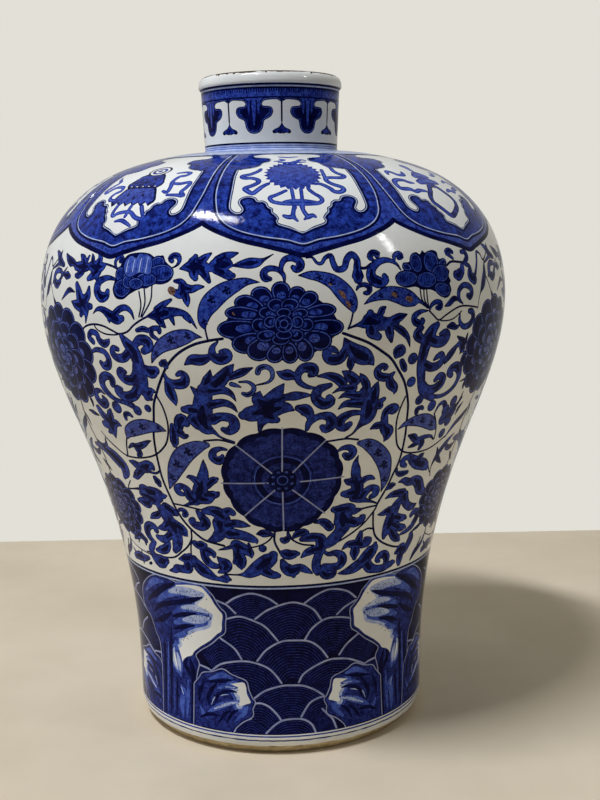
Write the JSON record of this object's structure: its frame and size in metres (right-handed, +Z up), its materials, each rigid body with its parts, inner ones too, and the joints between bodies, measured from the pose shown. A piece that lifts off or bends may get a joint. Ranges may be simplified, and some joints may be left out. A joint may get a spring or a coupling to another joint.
{
  "type": "meiping vase",
  "caption": "Meiping vase with a narrow waist, high broad shoulder, short neck and rolled lip, in porcelain painted in blue under a clear glaze.",
  "frame": {"origin": "centre of the foot ring's resting plane", "axes": "+Z up along the axis the vase was turned about; -Y faces the viewer of the picture"},
  "size_m": [0.2382, 0.2382, 0.33],
  "materials": {
    "glaze": "white porcelain under a clear gloss glaze, painted in cobalt blue",
    "biscuit": "glaze white on the flank, bare fired clay on the bevel and the sole",
    "slip": "matt fired slip inside the joints"
  },
  "bodies": {
    "root": {"foot_ring": "biscuit", "base_disc": "glaze", "lower_body": "glaze", "middle_body": "glaze", "shoulder": "glaze", "neck": "glaze", "mouth_rim": "glaze", "foot_slip_key": "slip", "waist_slip_key": "slip", "belly_slip_key": "slip", "neck_slip_key": "slip", "rim_slip_key": "slip"}
  },
  "joints": []
}
